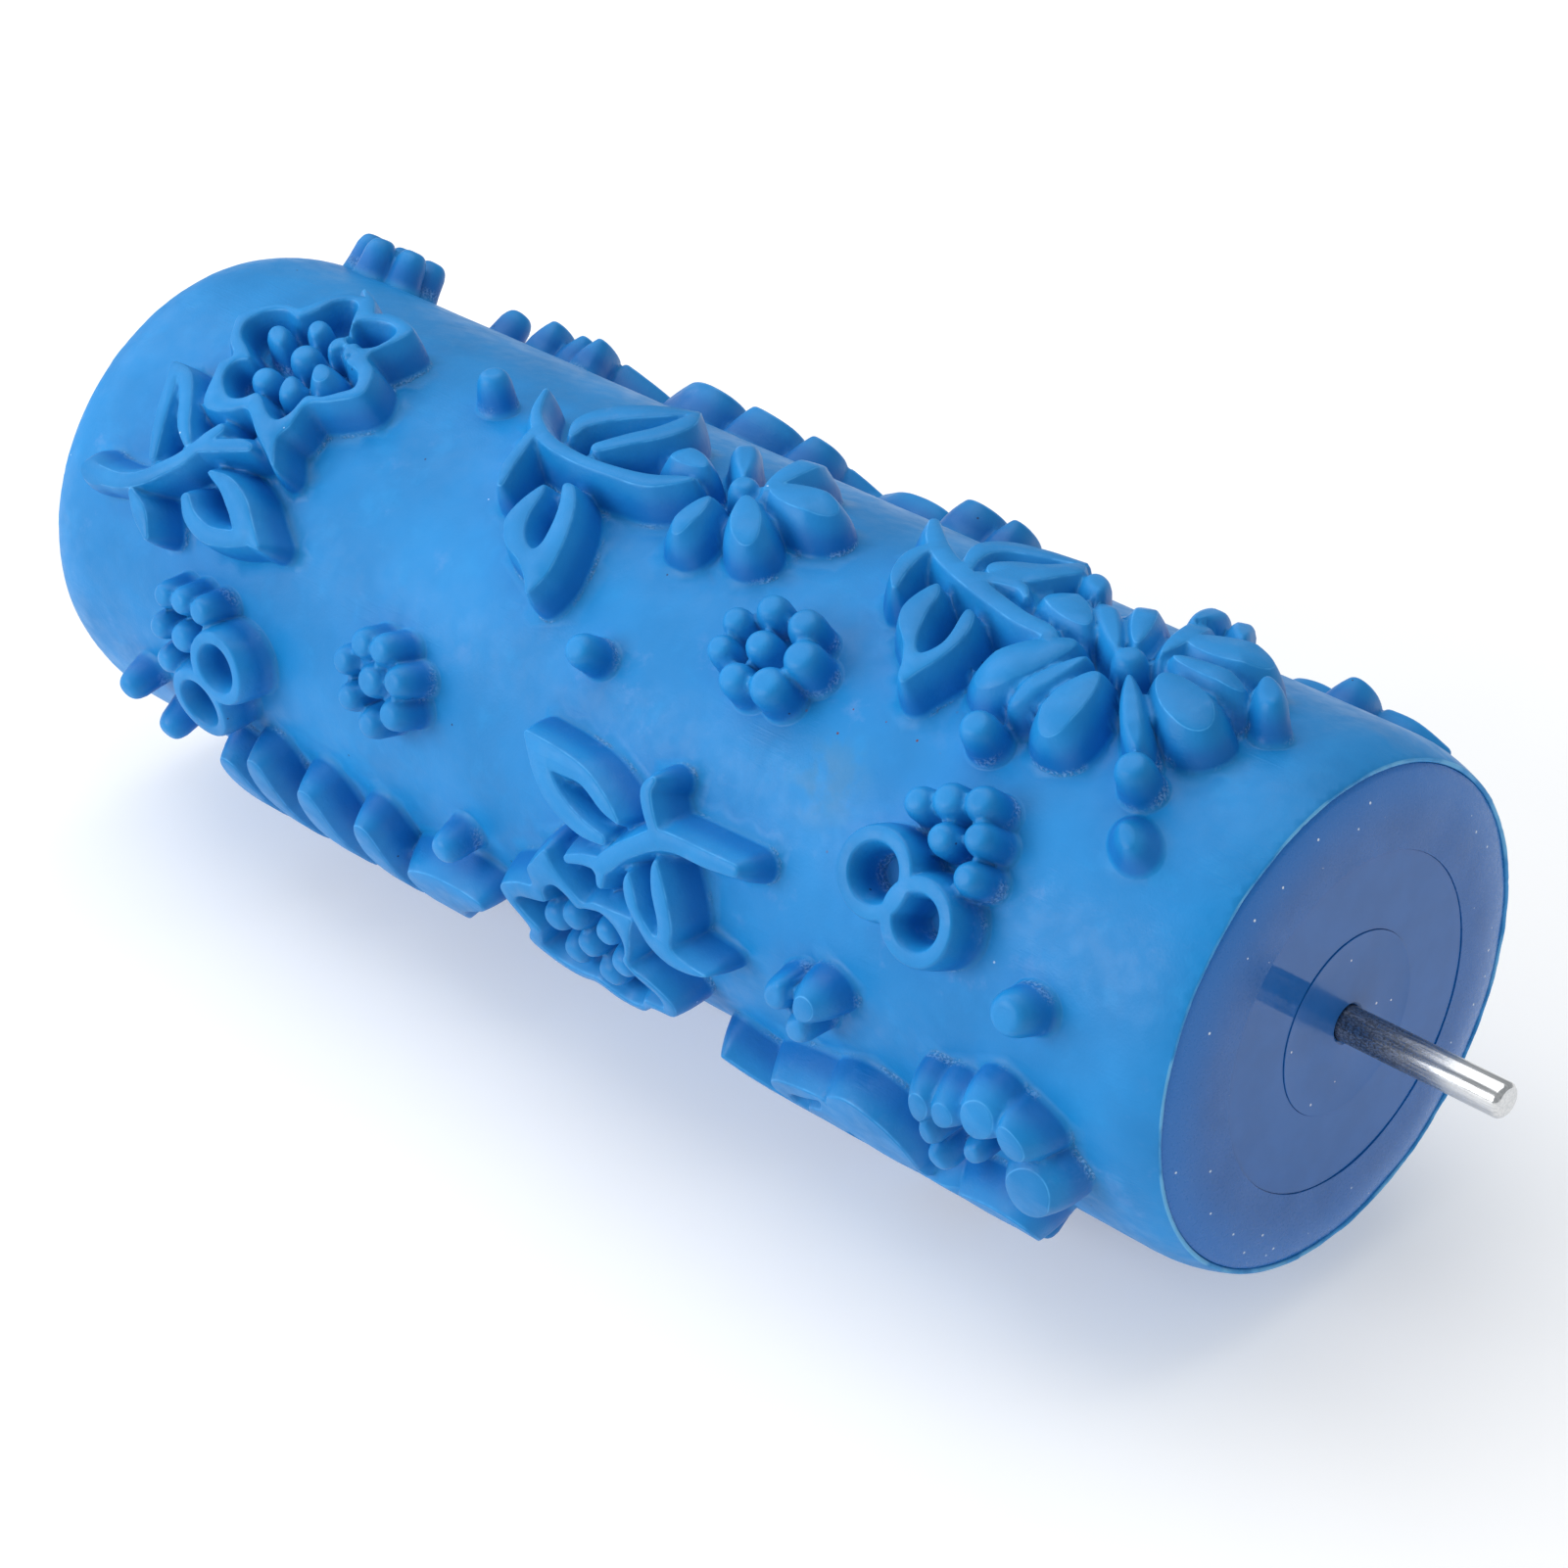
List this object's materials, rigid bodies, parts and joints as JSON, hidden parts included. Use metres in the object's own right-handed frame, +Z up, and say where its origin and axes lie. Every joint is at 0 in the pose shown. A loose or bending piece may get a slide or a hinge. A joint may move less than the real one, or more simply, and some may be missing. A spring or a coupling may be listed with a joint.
{
  "type": "textured pattern paint roller",
  "caption": "Rubber pattern roller with raised flowers, leaves and berries on a plastic core, turning on a thin steel axle that stands out of both end faces.",
  "frame": {"origin": "on the roller's axis, midway between the two end faces", "axes": "+X along the axle to the near end, +Z up, -Y to the front"},
  "size_m": [0.22, 0.07, 0.07],
  "materials": {
    "blue_rubber": "satin",
    "slate_plastic": "fine grain",
    "gloss_slate_plastic": "gloss",
    "matte_slate_plastic": "matte",
    "grey_plastic": "matte",
    "zinc_steel": "bright",
    "spring_steel": "dark"
  },
  "bodies": {
    "axle": {"axle": "zinc_steel", "thrust_washer_near": "zinc_steel", "thrust_washer_far": "zinc_steel", "push_on_clip_near": "spring_steel", "push_on_clip_far": "spring_steel"},
    "roller": {"pattern_sleeve": "blue_rubber", "core_tube": "grey_plastic", "end_cap_near": "slate_plastic", "end_cap_far": "slate_plastic", "hub_ring_near": "gloss_slate_plastic", "hub_ring_far": "gloss_slate_plastic", "axle_bush_near": "matte_slate_plastic", "axle_bush_far": "matte_slate_plastic"}
  },
  "joints": [
    {"name": "roller_spin", "type": "hinge", "parent": "axle", "child": "roller", "pos_m": [0, 0, 0], "axis": [1, 0, 0], "continuous": true}
  ]
}
